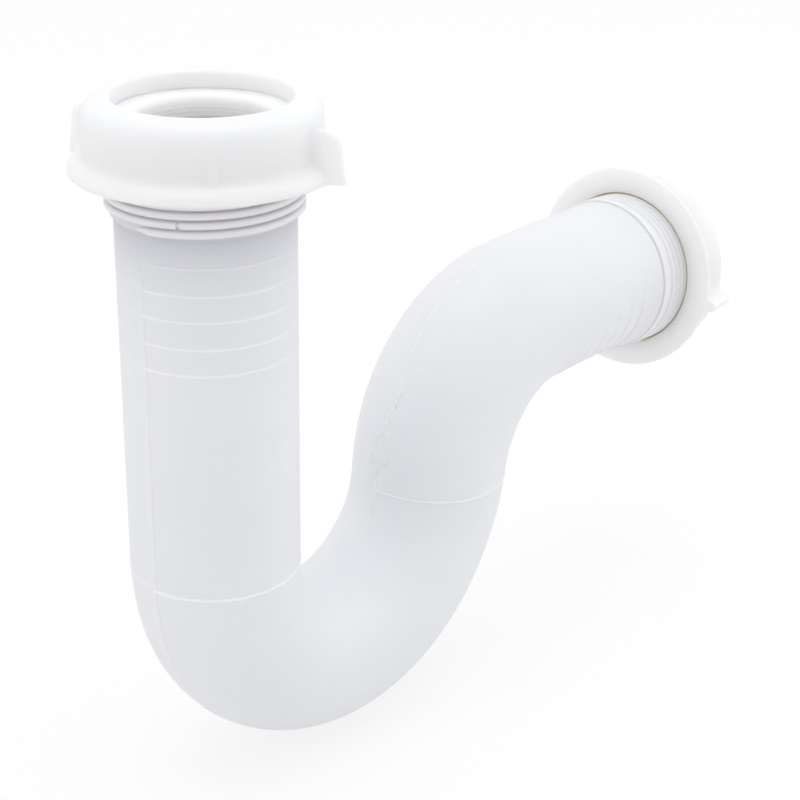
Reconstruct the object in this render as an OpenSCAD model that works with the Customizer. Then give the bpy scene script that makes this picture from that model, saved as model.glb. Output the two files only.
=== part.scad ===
// Flexible P-trap: a one-piece moulded pipe with a threaded collar at each end,
// two winged slip-joint nuts and the seal washers that they hold. Millimetres.
// The origin is the middle of the inlet collar's mouth. +Z points up out of the
// inlet, the outlet points towards +X, and the pipe bends in the plane Y = 0.

/* [Pipe] */
// Diameter of the waterway in the straight lengths
bore_d = 38.6; // [36:0.2:42]
// Wall of the inlet leg
leg_wall = 2.2; // [1.6:0.1:4]
// Wall of the riser beyond the U-bend
riser_wall = 2.7; // [2.4:0.1:4.5]
// Step in the outside where one part of the mould met the next
skin_step = 0.1; // [0.05:0.01:0.2]
// Step in the waterway at each end of a bend, where the parts of the core met
core_step = 0.05; // [0.04:0.01:0.1]
// Straight leg between the inlet collar and the U-bend
leg_len = 92.4; // [50:0.2:200]
// Straight riser between the two bends
riser_len = 5; // [1:0.5:80]
// Outlet run between the upper bend and the flare
run_len = 39; // [34:0.5:120]
// Length over which the outlet run flares out to its collar
flare_len = 6; // [2:0.5:12]
// How much the flare adds to the radius
flare_out = 0.7; // [0.2:0.1:1.2]

/* [Bends] */
// Radius of the U-bend on its centre line
u_bend_r = 42.5; // [32:0.5:80]
// Radius of the upper bend on its centre line
upper_bend_r = 40; // [30:0.5:80]
// Lean of the riser away from the inlet leg, in degrees
riser_lean = 9; // [0:0.5:30]
// Slope at which the outlet run leaves the upper bend, upwards, in degrees
run_rise = 3; // [1:0.5:8]
// Slope of the outlet run at its collar, downwards, in degrees
run_fall = 3; // [1:0.5:8]

/* [Collars and thread] */
// Length of each threaded collar
collar_len = 20; // [18:0.5:30]
// Wall of the collar between the waterway and the foot of the thread
collar_wall = 3.1; // [2.6:0.1:5]
// Height of the thread ridges
thread_depth = 1.1; // [0.5:0.1:1.4]
// Distance from one thread ridge to the next
thread_pitch = 2.2; // [2:0.05:2.2]
// Thread ridges on the inlet collar
inlet_ridges = 8; // [4:1:8]
// Thread ridges on the outlet collar
outlet_ridges = 7; // [4:1:7]
// Plain band between the inlet thread and the leg
inlet_band = 0.5; // [0.3:0.1:1.5]
// Plain band between the outlet thread and the flare
outlet_band = 3.7; // [1:0.1:4.5]
// Bevel inside the mouth of each collar, where the washer seats
mouth_bevel = 1.5; // [0.8:0.1:2.4]
// Depth of the sharp groove between the flare and the outlet collar
joint_groove = 0.5; // [0.2:0.1:1]

/* [Rings] */
// Trimming rings on the inlet leg
leg_rings = 5; // [0:1:10]
// Distance from the inlet collar to the first trimming ring
leg_ring_start = 6.9; // [4:0.1:20]
// Distance between the trimming rings on the leg
leg_ring_pitch = 6.6; // [4:0.1:8]
// Trimming rings on the outlet run
run_rings = 5; // [0:1:5]
// Distance from the flare to the first trimming ring
run_ring_start = 5.1; // [3:0.1:8]
// Distance between the trimming rings on the run
run_ring_pitch = 6.1; // [4:0.1:6.4]
// Height of the trimming rings
ring_height = 0.3; // [0.1:0.05:0.8]
// Width of the trimming rings, measured at their foot inside the wall
ring_width = 1.2; // [0.8:0.1:2]
// Height of the two rings where the halves of the mould met
joint_ring_height = 0.5; // [0.2:0.05:1]
// Width of the two mould-joint rings, measured in the same way
joint_ring_width = 1.6; // [1.5:0.1:3]

/* [Slip nut] */
// Wall of the nut beside its thread, at the skirt
nut_wall = 4.3; // [3.6:0.1:6]
// How much narrower the wall is at the crown than at the skirt
nut_draft = 0.5; // [0:0.1:1.5]
// Depth inside the nut, from the crown to the rim
nut_depth = 13.3; // [12.3:0.2:18.3]
// Thickness of the crown at its shoulder
crown_t = 3.4; // [2.4:0.1:5]
// How much higher the crown stands at its hole than at its shoulder
crown_rise = 0.9; // [0:0.1:1.4]
// Diameter of the hole in the crown
crown_hole_d = 41.8; // [38:0.2:44]
// Rounding of the upper edge of the crown's hole
hole_round = 0.6; // [0.4:0.1:2]
// Rounding of the crown's outer edge
crown_round = 3; // [1:0.1:3.6]
// How far the rolled skirt stands out from the wall
skirt_out = 3.3; // [2:0.1:3.6]
// Rounding of the rolled skirt
skirt_round = 3.2; // [3.1:0.1:4]
// Hollow fillet between the wall and the skirt
skirt_fillet = 2.6; // [1:0.1:3]
// Bevel inside the rim that leads the nut onto the thread
lead_in = 0.8; // [0.6:0.1:2.4]

/* [Wings and ribs] */
// How far each wing stands out from the wall at the rim
wing_reach = 7.1; // [5:0.1:14]
// How much the outer edge of the wing leans in towards the crown
wing_lean = 1.5; // [0:0.1:3]
// Height of the wings above the rim
wing_height = 12; // [8:0.1:12.3]
// Thickness of the wings
wing_t = 3.2; // [2:0.1:6]
// Rounding of the wing's upper corner
wing_round = 2.6; // [1:0.1:3.5]
// Radius of the hollow fillets that join each wing to the wall
wing_fillet = 2.4; // [0.5:0.1:4]
// Turn of the inlet nut's wings from +X, in degrees
inlet_wing_turn = -70; // [-180:1:180]
// Turn of the outlet nut's wings about the outlet, in degrees
outlet_wing_turn = -82; // [-180:1:180]
// Angle from each wing to the small rib on the wall, in degrees
rib_turn = -60; // [-80:1:-40]
// Radius of the small rib
rib_r = 1.3; // [0.8:0.1:2]
// How far the small rib stands out from the wall
rib_out = 0.7; // [0.3:0.1:1]
// Height of the small rib above the skirt
rib_height = 6.4; // [3:0.1:7]

/* [Washer] */
// Diameter of the washer's hole, for the tube that it seals
washer_hole_d = 31.9; // [28:0.1:33.5]
// Thickness of the washer's flange
washer_t = 3.5; // [2.5:0.1:5]
// Depth of the tapered plug below the flange
plug_len = 1.2; // [0.8:0.1:2.6]
// Rounding of the hole's upper edge
washer_round = 1.2; // [0.4:0.1:1.6]

/* [Fits] */
// Play between the nut's bore and the crests of the thread
thread_play = 0.3; // [0.2:0.05:0.6]
// Play between the washer's edge and the nut's bore
washer_play = 0.5; // [0.3:0.05:0.9]
// Gap on each face of a washer when its nut is hand tight
seat_gap = 0.2; // [0.1:0.05:0.4]
// Gap between the washer's tapered plug and the bevel in the collar
plug_gap = 0.3; // [0.2:0.05:0.6]
// How far the outlet nut stands back from hand tight
outlet_slack = 1.1; // [0:0.1:2]

/* [Hidden] */
$fn = 96;
body_color = [0.90, 0.905, 0.925];
nut_color = [0.96, 0.96, 0.955];
washer_color = [0.95, 0.94, 0.91];
wing_angles = [0, 180];
// Steps in each small round and in each wide one
round_steps = 6;
crown_steps = 10;
// How far a ring or a wing reaches into the wall that carries it
ring_sink = 0.3;
wing_sink = 2;
edge_round = 0.4;
// Shares of the pitch taken by a ridge's crest and by the flat between ridges
crest_share = 0.25;
root_share = 0.15;
// How far each length of pipe reaches over the next, and a cutter past a face
overlap = 0.4;

bore_r = bore_d / 2;
bend_bore_r = bore_r + core_step;
leg_r = bore_r + leg_wall;
u_bend_outer_r = leg_r - skin_step;
riser_r = bore_r + riser_wall;
upper_bend_outer_r = riser_r + skin_step;
run_r = upper_bend_outer_r + skin_step;
flare_start_r = run_r + skin_step;
flare_r = flare_start_r + flare_out;
root_r = bore_r + collar_wall;
thread_r = root_r + thread_depth;

nut_bore_r = thread_r + thread_play;
nut_r = nut_bore_r + nut_wall;
nut_top_r = nut_r - nut_draft;
skirt_r = nut_r + skirt_out;
crown_hole_r = crown_hole_d / 2;
washer_r = nut_bore_r - washer_play;
washer_hole_r = washer_hole_d / 2;
rim_z = -nut_depth;

// Heights above the collar's mouth of a hand-tight washer and nut
washer_z = seat_gap;
nut_z = washer_z + washer_t + seat_gap;

// The centre line in the plane Y = 0, as [x, z]
leg_foot = [0, -collar_len - leg_len];
u_turn = 180 - riser_lean;
u_centre = leg_foot + [u_bend_r, 0];
u_end = u_centre - u_bend_r * [cos(u_turn), sin(u_turn)];
riser_slope = 90 - riser_lean;
riser_end = u_end + riser_len * [cos(riser_slope), sin(riser_slope)];
upper_centre = riser_end + upper_bend_r * [sin(riser_slope), -cos(riser_slope)];
upper_turn = riser_slope - run_rise;
upper_end = upper_centre + upper_bend_r * [-sin(run_rise), cos(run_rise)];
run_turn = run_rise + run_fall;
sag_r = run_len * 180 / (PI * run_turn);
sag_centre = upper_end + sag_r * [sin(run_rise), -cos(run_rise)];
run_end = sag_centre + sag_r * [sin(run_fall), cos(run_fall)];
outlet_mouth = flare_len + collar_len;

// Points on an arc about c, from angle a to angle b
function arc(c, r, a, b, steps) =
    [for (i = [0:steps]) c + r * [cos(a + (b - a) * i / steps), sin(a + (b - a) * i / steps)]];

// Puts children on the outlet's axis, with z = 0 at the start of the flare
module at_outlet() {
    translate([run_end.x, 0, run_end.y]) rotate([0, 90 + run_fall, 0]) children();
}

// Round section r laid along an arc about c, from angle a through turn, past by an overlap
// at its start and at its end
module bend(c, bend_r, a, turn, r, before, after) {
    reach = 180 / (PI * bend_r);
    translate([c.x, 0, c.y]) rotate([90, 0, 0]) rotate([0, 0, a - after * reach])
        rotate_extrude(angle = turn + (before + after) * reach) translate([bend_r, 0]) circle(r);
}

// Straight length along z about the riser's lower end
module at_riser() {
    translate([u_end.x, 0, u_end.y]) rotate([0, riser_lean, 0]) children();
}

// Low ring with sloping sides round a pipe of radius r, centred on z = 0
module raised_ring(r, height, width) {
    rotate_extrude() polygon([
        [r - ring_sink, -width / 2], [r + height, -width / 6],
        [r + height, width / 6], [r - ring_sink, width / 2]]);
}

// Outline of one thread ridge whose upper foot is at height z
function ridge(z) = [
    [root_r, z - thread_pitch * root_share / 2],
    [thread_r, z - thread_pitch * (1 - crest_share) / 2],
    [thread_r, z - thread_pitch * (1 + crest_share) / 2],
    [root_r, z - thread_pitch * (1 - root_share / 2)]];

// Outline of a collar below its mouth at z = 0. foot holds the points below its thread.
function collar_outline(ridges, band, foot) =
    let (lead = collar_len - band - ridges * thread_pitch)
    concat(
        [[0, 0], [root_r - edge_round, 0], [root_r, -edge_round]],
        [for (i = [0:ridges - 1], p = ridge(-lead - i * thread_pitch)) p],
        foot);

module inlet_collar() {
    foot = [[root_r, -collar_len + root_r - leg_r], [leg_r, -collar_len], [0, -collar_len]];
    rotate_extrude() polygon(collar_outline(inlet_ridges, inlet_band, foot));
}

// The smooth band ends in a sharp groove, and the flare comes down from it to the run
module outlet_collar() {
    groove_r = flare_r - joint_groove;
    flare_foot = -outlet_mouth - overlap;
    foot = [[thread_r, -collar_len + outlet_band - thread_depth],
            [flare_r + joint_groove, -collar_len + joint_groove],
            [groove_r, -collar_len + joint_groove / 2],
            [groove_r, -collar_len], [flare_r, -collar_len],
            [flare_start_r, flare_foot], [0, flare_foot]];
    rotate_extrude() polygon(collar_outline(outlet_ridges, outlet_band, foot));
}

// The outside of the pipe as a solid, each length reaching over the narrower one before it
module skin() {
    inlet_collar();
    translate([0, 0, leg_foot.y - overlap]) cylinder(h = leg_len + overlap, r = leg_r);
    bend(u_centre, u_bend_r, 180, u_turn, u_bend_outer_r, 0, 0);
    at_riser() translate([0, 0, -overlap]) cylinder(h = riser_len + overlap, r = riser_r);
    bend(upper_centre, upper_bend_r, 90 + run_rise, upper_turn, upper_bend_outer_r, overlap, 0);
    bend(sag_centre, sag_r, 90 - run_fall, run_turn, run_r, overlap, 0);
    at_outlet() translate([0, 0, outlet_mouth]) outlet_collar();
    rings();
}

// The waterway as a solid, with the bends a little wider than the straight lengths
module waterway() {
    translate([0, 0, leg_foot.y]) mouth_bore(leg_len + collar_len, bore_r);
    bend(u_centre, u_bend_r, 180, u_turn, bend_bore_r, overlap, overlap);
    at_riser() cylinder(h = riser_len, r = bore_r);
    bend(upper_centre, upper_bend_r, 90 + run_rise, upper_turn, bend_bore_r, overlap, overlap);
    bend(sag_centre, sag_r, 90 - run_fall, run_turn, bore_r, 0, 0);
    at_outlet() translate([0, 0, -overlap]) mouth_bore(outlet_mouth + overlap, bend_bore_r);
}

// Bore upwards from z = 0 to a mouth at height len, with the bevel inside the mouth
module mouth_bore(len, r) {
    rotate_extrude() polygon([
        [0, 0], [r, 0], [r, len - mouth_bevel], [r + mouth_bevel + overlap, len + overlap],
        [0, len + overlap]]);
}

// One moulding: the pipe, its flare, both threaded collars and all its rings
module trap_body() {
    color(body_color) difference() {
        skin();
        waterway();
    }
}

module rings() {
    for (i = [0:1:leg_rings - 1])
        translate([0, 0, -collar_len - leg_ring_start - i * leg_ring_pitch])
            raised_ring(leg_r, ring_height, ring_width);
    for (i = [0:1:run_rings - 1])
        run_ring((run_ring_start + i * run_ring_pitch) / run_len);
    translate([0, 0, leg_foot.y]) raised_ring(leg_r, joint_ring_height, joint_ring_width);
    at_riser() raised_ring(riser_r, joint_ring_height, joint_ring_width);
}

// Trimming ring at a share of the outlet run, counted back from the flare
module run_ring(share) {
    translate([sag_centre.x, 0, sag_centre.y]) rotate([0, run_fall - share * run_turn, 0])
        translate([0, 0, sag_r]) rotate([0, 90, 0]) raised_ring(run_r, ring_height, ring_width);
}

// Turned outline of the nut, with z = 0 at the underside of its crown
function nut_outline() =
    let (roll = [skirt_r - skirt_round, rim_z + edge_round],
         reach = nut_r + skirt_fillet - roll.x,
         rise = sqrt(pow(skirt_round + skirt_fillet, 2) - pow(reach, 2)),
         hollow = roll + [reach, rise],
         meet = atan2(rise, reach),
         lip = [crown_hole_r + hole_round, crown_t + crown_rise - hole_round],
         shoulder = [nut_top_r - crown_round, crown_t - crown_round],
         slope = atan2(crown_rise, shoulder.x - lip.x))
    concat(
        [[crown_hole_r, 0]],
        arc(lip, hole_round, 180, 90 - slope, round_steps),
        arc(shoulder, crown_round, 90 - slope, 0, crown_steps),
        arc(hollow, skirt_fillet, 180, 180 + meet, round_steps),
        arc(roll, skirt_round, meet, 0, round_steps),
        [[skirt_r - edge_round, rim_z], [nut_bore_r + lead_in, rim_z],
         [nut_bore_r, rim_z + lead_in], [nut_bore_r, 0]]);

// Side outline of a wing, as radius and height
function wing_side() =
    let (top = rim_z + wing_height,
         lean = wing_lean / wing_height,
         tip = nut_r + wing_reach)
    concat(
        [[nut_bore_r + wing_sink, rim_z], [tip, rim_z]],
        [[tip - lean * (wing_height - wing_round), top - wing_round]],
        arc([tip - wing_lean - wing_round, top - wing_round], wing_round, 0, 90, round_steps),
        [[nut_bore_r + wing_sink, top]]);

// Plan of a wing: a plate with a round tip that spreads into the wall
function wing_plan() =
    let (half = wing_t / 2,
         tip = nut_r + wing_reach,
         root = nut_r - edge_round,
         side = concat(
             arc([root + wing_fillet, half + wing_fillet], wing_fillet, 180, 270, round_steps),
             arc([tip - half, 0], half, 90, 0, round_steps)))
    concat(
        [[nut_bore_r + wing_sink, half + wing_fillet]], side,
        [for (i = [len(side) - 2:-1:0]) [side[i].x, -side[i].y]],
        [[nut_bore_r + wing_sink, -half - wing_fillet]]);

module wing() {
    intersection() {
        translate([0, 0, rim_z]) linear_extrude(wing_height) polygon(wing_plan());
        rotate([90, 0, 0]) linear_extrude(wing_t + 2 * wing_fillet, center = true) polygon(wing_side());
    }
}

// Slip-joint nut with z = 0 at the underside of its crown and one wing turned from +X
module slip_nut(turn) {
    color(nut_color) rotate([0, 0, turn]) union() {
        rotate_extrude() polygon(nut_outline());
        for (a = wing_angles) {
            rotate([0, 0, a]) wing();
            rotate([0, 0, a + rib_turn]) rib();
        }
    }
}

// Small upright rib on the wall
module rib() {
    translate([nut_r + rib_out - rib_r, 0, rim_z + skirt_round])
        cylinder(h = rib_height, r1 = rib_r, r2 = rib_r - nut_draft);
}

// Seal washer with z = 0 at the underside of its flange
module washer() {
    plug_r = bore_r + mouth_bevel - plug_gap;
    color(washer_color) rotate_extrude() polygon(concat(
        [[washer_hole_r, -plug_len]],
        arc([washer_hole_r + washer_round, washer_t - washer_round], washer_round, 180, 90, round_steps),
        [[washer_r - edge_round, washer_t], [washer_r, washer_t - edge_round],
         [washer_r, edge_round], [washer_r - edge_round, 0],
         [plug_r, 0], [plug_r - plug_len, -plug_len]]));
}

module inlet_nut() {
    translate([0, 0, nut_z]) slip_nut(inlet_wing_turn);
}

module inlet_washer() {
    translate([0, 0, washer_z]) washer();
}

module outlet_nut() {
    at_outlet() translate([0, 0, outlet_mouth + nut_z + outlet_slack]) slip_nut(outlet_wing_turn);
}

module outlet_washer() {
    at_outlet() translate([0, 0, outlet_mouth + washer_z + outlet_slack]) washer();
}

trap_body();
inlet_nut();
inlet_washer();
outlet_nut();
outlet_washer();
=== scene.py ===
# %% [markdown]
# # A flexible P-trap
# This lesson dresses a plumbing part: a white, soft, one-piece trap with a winged nut and a
# seal washer on each end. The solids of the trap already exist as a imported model, which holds
# every size and every joint. Blender is only used for looks here. Each lesson step names a
# piece or a finish of the real trap, says how it could be made, and why it is made this way.

# %% Load the frame
import math

import bmesh
import bpy
import numpy as np
from mathutils import Matrix, Vector


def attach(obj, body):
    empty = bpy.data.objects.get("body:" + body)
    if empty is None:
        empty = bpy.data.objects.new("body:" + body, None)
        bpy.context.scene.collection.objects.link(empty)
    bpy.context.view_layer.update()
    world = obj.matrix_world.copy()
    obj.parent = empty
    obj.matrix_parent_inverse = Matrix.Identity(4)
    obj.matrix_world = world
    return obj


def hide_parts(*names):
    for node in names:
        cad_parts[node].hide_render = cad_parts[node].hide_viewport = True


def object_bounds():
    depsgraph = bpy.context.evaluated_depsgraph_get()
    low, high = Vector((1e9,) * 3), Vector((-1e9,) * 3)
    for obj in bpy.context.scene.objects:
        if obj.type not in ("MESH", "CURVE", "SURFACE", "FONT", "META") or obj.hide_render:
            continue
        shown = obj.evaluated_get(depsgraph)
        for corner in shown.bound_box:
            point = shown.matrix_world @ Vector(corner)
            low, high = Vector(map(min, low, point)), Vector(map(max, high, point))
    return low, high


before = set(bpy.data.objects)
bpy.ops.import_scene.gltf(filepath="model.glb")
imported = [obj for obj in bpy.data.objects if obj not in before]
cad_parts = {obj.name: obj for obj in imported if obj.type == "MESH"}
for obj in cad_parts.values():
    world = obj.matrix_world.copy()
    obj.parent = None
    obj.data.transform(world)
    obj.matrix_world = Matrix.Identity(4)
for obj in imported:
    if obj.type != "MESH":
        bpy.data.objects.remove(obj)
solid_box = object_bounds()
mm = 0.001
rng = np.random.default_rng(12)
print("solids:", sorted(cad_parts), "box:", solid_box)

# %% [markdown]
# ## The camera
# The trap was seen from a little above, over the inlet, with the outlet running away to the
# right. The lens is long, so the two ends keep almost the same size. The camera's place was
# worked out from the rings and threads of the trap: a turn round the upright axis, a height
# angle, a small roll and a distance. From these the matrix is built by hand, because that
# keeps the roll exact, which a track-to constraint would not.

# %% Place the camera
turn, height, roll = math.radians(49.96), math.radians(23.92), math.radians(0.96)
level_out = math.cos(height)
toward_viewer = Vector((-math.sin(turn) * level_out, -math.cos(turn) * level_out, math.sin(height)))
level_right = Vector((math.cos(turn), -math.sin(turn), 0))
level_up = toward_viewer.cross(level_right)
right = level_right * math.cos(roll) + level_up * math.sin(roll)
up = level_up * math.cos(roll) - level_right * math.sin(roll)
aim = level_right * 46.08 * mm + Vector((0, 0, -67.48 * mm))
distance, focal_pixels = 446.33 * mm, 1829.01
eye = aim + toward_viewer * distance

lens = bpy.data.cameras.new("camera")
lens.sensor_width = 36
lens.lens = lens.sensor_width * focal_pixels / 800
lens.clip_start = 0.01
lens.dof.use_dof = False
camera = bpy.data.objects.new("camera", lens)
bpy.context.scene.collection.objects.link(camera)
camera.matrix_world = Matrix.Translation(eye) @ Matrix((right, up, toward_viewer)).transposed().to_4x4()
bpy.context.scene.camera = camera
print("camera at", [round(v, 4) for v in eye], "lens %.1f mm" % lens.lens)

# %% [markdown]
# ## The floor and the light
# The trap stands in an even white studio. A big white floor throws light up under the bends,
# and the world fills in from all round, a little weaker from the viewer's side, which gives
# the pipe its soft shading. Three wide lamps do the rest: one overhead makes the tops brighter
# than the sides, and one at each side lights the ends of the bends. Light may scatter eight
# times, because a white trap lights itself from wall to wall. The floor and the world show
# white to the camera and in reflections. Part of the floor's colour still comes from the
# lamps, so that it keeps a soft shadow of the trap.

# %% Floor
floor_height = solid_box[0][2]
floor_mesh = bpy.data.meshes.new("floor")
floor_mesh.from_pydata([(-4, -4, 0), (4, -4, 0), (4, 4, 0), (-4, 4, 0)], [], [(0, 1, 2, 3)])
floor = bpy.data.objects.new("floor", floor_mesh)
floor.location = (0, 0, floor_height - 0.1 * mm)
bpy.context.scene.collection.objects.link(floor)

floor_paint = bpy.data.materials.new("white_floor")
floor_paint.use_nodes = True
nodes, links = floor_paint.node_tree.nodes, floor_paint.node_tree.links
nodes.clear()
out = nodes.new("ShaderNodeOutputMaterial")
matt = nodes.new("ShaderNodeBsdfDiffuse")
matt.inputs["Color"].default_value = (0.88, 0.88, 0.88, 1)
glow = nodes.new("ShaderNodeEmission")
glow.inputs["Strength"].default_value = 1.0
blend = nodes.new("ShaderNodeMixShader")
rays = nodes.new("ShaderNodeLightPath")


def seen_ray(nodes, links, rays):
    """One for a ray from the camera, a reflection or a transmission, and zero for scattered light."""
    first, second = nodes.new("ShaderNodeMath"), nodes.new("ShaderNodeMath")
    first.operation = second.operation = "MAXIMUM"
    links.new(rays.outputs["Is Camera Ray"], first.inputs[0])
    links.new(rays.outputs["Is Glossy Ray"], first.inputs[1])
    links.new(first.outputs[0], second.inputs[0])
    links.new(rays.outputs["Is Transmission Ray"], second.inputs[1])
    return second.outputs[0]


glow_unseen, glow_more_when_seen = 0.50, 0.22
share = nodes.new("ShaderNodeMath")
share.operation = "MULTIPLY_ADD"
share.inputs[1].default_value = glow_more_when_seen
share.inputs[2].default_value = glow_unseen
links.new(seen_ray(nodes, links, rays), share.inputs[0])
links.new(share.outputs[0], blend.inputs["Fac"])
links.new(matt.outputs[0], blend.inputs[1])
links.new(glow.outputs[0], blend.inputs[2])
links.new(blend.outputs[0], out.inputs["Surface"])
floor_mesh.materials.append(floor_paint)
print("floor at %.1f mm" % (floor.location.z / mm))

# %% World and lamps
world = bpy.data.worlds.new("studio")
bpy.context.scene.world = world
world.use_nodes = True
nodes, links = world.node_tree.nodes, world.node_tree.links
nodes.clear()
out = nodes.new("ShaderNodeOutputWorld")
fill = nodes.new("ShaderNodeBackground")
fill.inputs["Color"].default_value = (0.97, 0.98, 1.0, 1)
facing = nodes.new("ShaderNodeVectorMath")
facing.operation = "DOT_PRODUCT"
facing.inputs[1].default_value = toward_viewer
links.new(nodes.new("ShaderNodeTexCoord").outputs["Generated"], facing.inputs[0])
away_from_viewer, near_viewer = (-0.1, 1.07), (0.95, 0.83)
dim = nodes.new("ShaderNodeMapRange")
from_to = (away_from_viewer[0], near_viewer[0], away_from_viewer[1], near_viewer[1])
for socket, number in zip(dim.inputs[1:5], from_to):
    socket.default_value = number
links.new(facing.outputs["Value"], dim.inputs["Value"])
links.new(dim.outputs["Result"], fill.inputs["Strength"])
white = nodes.new("ShaderNodeBackground")
white.inputs["Color"].default_value = (1, 1, 1, 1)
white.inputs["Strength"].default_value = 1.0
rays = nodes.new("ShaderNodeLightPath")
blend = nodes.new("ShaderNodeMixShader")
links.new(seen_ray(nodes, links, rays), blend.inputs["Fac"])
links.new(fill.outputs[0], blend.inputs[1])
links.new(white.outputs[0], blend.inputs[2])
links.new(blend.outputs[0], out.inputs["Surface"])


def soft_lamp(name, place, target, size, power):
    """A square lamp that shines from one point towards another."""
    data = bpy.data.lights.new(name, "AREA")
    data.shape = "SQUARE"
    data.size = size
    data.energy = power
    lamp = bpy.data.objects.new(name, data)
    lamp.location = place
    lamp.rotation_euler = (Vector(target) - Vector(place)).to_track_quat("-Z", "Y").to_euler()
    bpy.context.scene.collection.objects.link(lamp)
    return lamp


middle = Vector((0.08, 0, -0.09))
soft_lamp("overhead_lamp", (-0.05, 0.05, 1.25), middle, 1.1, 4.3)
soft_lamp("side_lamp", (0.85, -0.62, 0.35), middle, 0.9, 1.6)
soft_lamp("left_lamp", (-1.0, 0.35, 0.25), middle, 0.9, 0.9)
bpy.context.scene.cycles.diffuse_bounces = 8
bpy.context.scene.view_settings.view_transform = "Standard"
print("world and three lamps set")

# %% [markdown]
# ## Helpers for finishes
# A moulded plastic is never one flat colour. Its pigment is a little uneven, its skin has the
# fine grain of the mould, and its gloss changes where it rubbed. All of that can come from
# noise that is measured in the object's own coordinates, so it stays on the piece as it moves
# and keeps its real scale in millimetres. Where painted shade or painted light belongs to one
# place, such as shade in a groove or a highlight on a raised edge, the mesh carries a mark
# there, a number at each point, and the finish tints by it.

# %% Finish helpers
def new_finish(name):
    """A new material with its shader and the object's coordinates."""
    finish = bpy.data.materials.new(name)
    finish.use_nodes = True
    tree = finish.node_tree
    shader = next(n for n in tree.nodes if n.type == "BSDF_PRINCIPLED")
    place = tree.nodes.new("ShaderNodeTexCoord").outputs["Object"]
    return finish, tree, shader, place


def grain(tree, place, size_mm, detail=2.0):
    """Noise whose lumps are about size_mm across."""
    n = tree.nodes.new("ShaderNodeTexNoise")
    n.inputs["Scale"].default_value = 1 / (size_mm * mm)
    n.inputs["Detail"].default_value = detail
    tree.links.new(place, n.inputs["Vector"])
    return n.outputs["Fac"]


def spread(tree, value, low, high, to_low, to_high):
    """Stretches a value from one range to another."""
    n = tree.nodes.new("ShaderNodeMapRange")
    for socket, number in zip(n.inputs[1:5], (low, high, to_low, to_high)):
        socket.default_value = number
    tree.links.new(value, n.inputs["Value"])
    return n.outputs["Result"]


def tint(tree, amount, first, second):
    """A colour between two, by amount. Each of the two is a colour or another tint."""
    n = tree.nodes.new("ShaderNodeMix")
    n.data_type = "RGBA"
    tree.links.new(amount, n.inputs["Factor"])
    for socket, colour in ((n.inputs["A"], first), (n.inputs["B"], second)):
        if isinstance(colour, tuple):
            socket.default_value = (*colour, 1)
        else:
            tree.links.new(colour, socket)
    return n.outputs["Result"]


def marked(tree, colour, mark, marked_colour):
    """Tints a colour where the mesh carries a mark, a number from 0 to 1 at each point."""
    n = tree.nodes.new("ShaderNodeAttribute")
    n.attribute_name = mark
    return tint(tree, n.outputs["Fac"], colour, marked_colour)


def emboss(tree, heights):
    """Stacks bumps, each a (value, height in mm) pair, and returns the bent normal."""
    normal = None
    for value, height in heights:
        n = tree.nodes.new("ShaderNodeBump")
        n.inputs["Distance"].default_value = height * mm
        tree.links.new(value, n.inputs["Height"])
        if normal:
            tree.links.new(normal, n.inputs["Normal"])
        normal = n.outputs["Normal"]
    return normal


def let_light_through(tree, shader, share, colour):
    """Lets a share of the light pass into the wall, so that a thin wall glows from behind."""
    passing = tree.nodes.new("ShaderNodeBsdfTranslucent")
    passing.inputs["Color"].default_value = (*colour, 1)
    both = tree.nodes.new("ShaderNodeMixShader")
    both.inputs["Fac"].default_value = share
    tree.links.new(shader.outputs["BSDF"], both.inputs[1])
    tree.links.new(passing.outputs["BSDF"], both.inputs[2])
    out = next(n for n in tree.nodes if n.type == "OUTPUT_MATERIAL")
    tree.links.new(both.outputs["Shader"], out.inputs["Surface"])


print("finish helpers ready")

# %% [markdown]
# ## White soft vinyl
# The pipe is soft vinyl with a faintly blue white. It is satin, with a skin like fine orange
# peel, slow waves where the wall shrank as it cooled, and a few grey specks that were baked
# into the plastic. A little light travels under the surface, which softens the edges of the
# rings, and some passes right through the wall, so the hollow inside isn't black. The specks
# come from a cell pattern: only the very middle of some cells is coloured. Three marks paint
# light and shade into the wall's colour: painted shade in the grooves, painted highlights on
# raised edges with painted light in the hollow inside, and a painted shadow of the inlet nut
# on the leg under its collar.

# %% Vinyl
vinyl, tree, shader, place = new_finish("trap_vinyl")
cloud = grain(tree, place, 38, 3)
clouded = spread(tree, cloud, 0.35, 0.65, 0, 1)
body_colour = tint(tree, clouded, (0.840, 0.845, 0.867), (0.860, 0.864, 0.882))
cell_size = 13 * mm
cells = tree.nodes.new("ShaderNodeTexVoronoi")
cells.inputs["Scale"].default_value = 1 / cell_size
tree.links.new(place, cells.inputs["Vector"])
speck = spread(tree, cells.outputs["Distance"], 0.016, 0.030, 1, 0)
chosen = spread(tree, grain(tree, place, 30, 0), 0.52, 0.56, 0, 0.55)
dot = tree.nodes.new("ShaderNodeMath")
dot.operation = "MULTIPLY"
tree.links.new(speck, dot.inputs[0])
tree.links.new(chosen, dot.inputs[1])
body_colour = tint(tree, dot.outputs[0], body_colour, (0.46, 0.43, 0.37))
# Painted shade: darker purple-grey in the grooves, cuts and seam, where shade falls
body_colour = marked(tree, body_colour, "painted_shade", (0.70, 0.65, 0.69))
# Painted light: painted highlights on raised edges and crests, and the hollow inside painted whiter
body_colour = marked(tree, body_colour, "painted_light", (0.98, 0.98, 0.985))
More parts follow.
